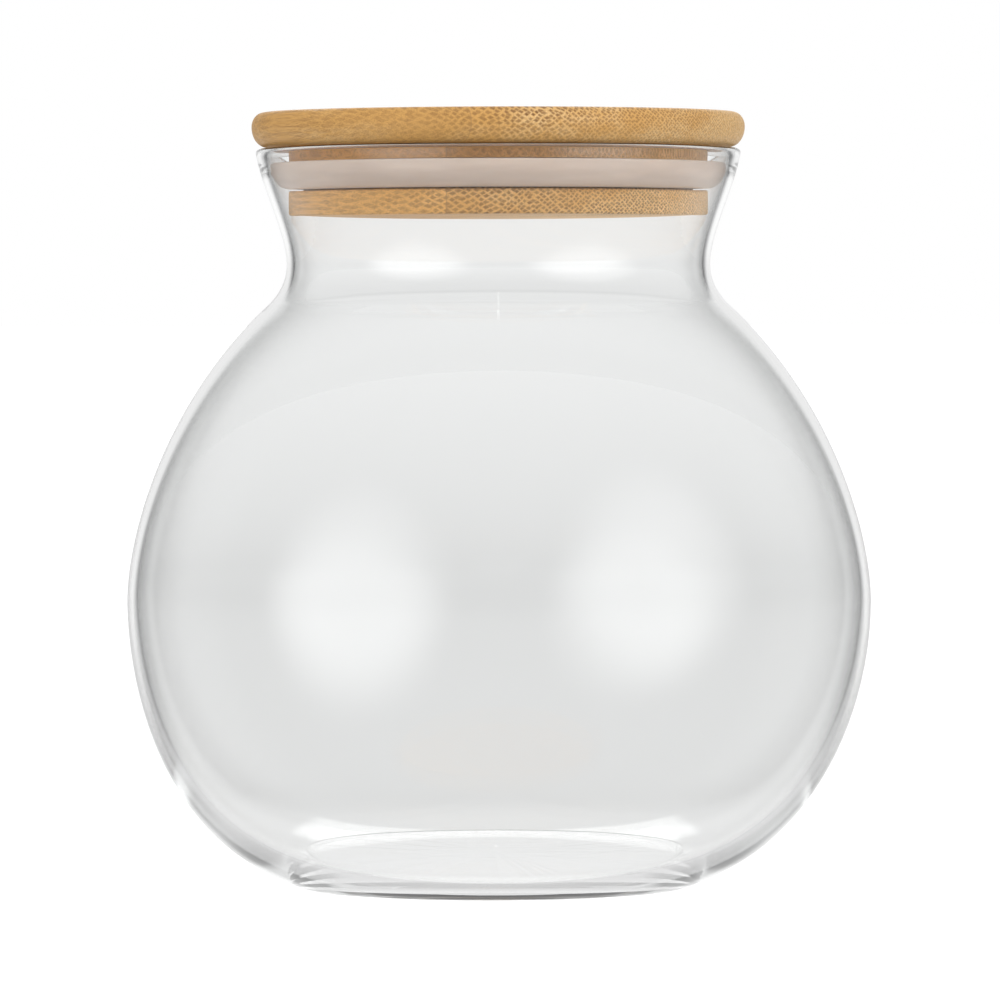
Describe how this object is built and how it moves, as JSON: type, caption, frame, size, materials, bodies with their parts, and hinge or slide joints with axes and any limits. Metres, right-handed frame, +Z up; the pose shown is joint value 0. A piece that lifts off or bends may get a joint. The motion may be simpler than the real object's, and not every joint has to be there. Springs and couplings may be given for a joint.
{
  "type": "food canister",
  "caption": "Round-bellied clear glass food canister with a pinched neck, a flared collar and a push-in bamboo lid with a silicone seal.",
  "frame": {"origin": "centre of the base's resting face", "axes": "+Z up along the jar's axis, -Y towards the viewer of the picture, +X to the viewer's right"},
  "size_m": [0.151, 0.151, 0.157],
  "materials": {
    "glass": "clear blown glass",
    "bamboo": "sanded, thin satin oil",
    "silicone": "translucent satin"
  },
  "bodies": {
    "jar": {"glass_jar": "glass"},
    "seal": {"silicone_seal": "silicone"},
    "lid": {"lid_top_board": "bamboo", "lid_plug_board": "bamboo"}
  },
  "joints": [
    {"name": "lid_lift", "type": "slide", "parent": "jar", "child": "seal", "axis": [0, 0, 1], "range_m": [0, 0.08]},
    {"name": "lid_turn", "type": "hinge", "parent": "seal", "child": "lid", "pos_m": [0, 0, 0.1497], "axis": [0, 0, 1], "continuous": true}
  ]
}
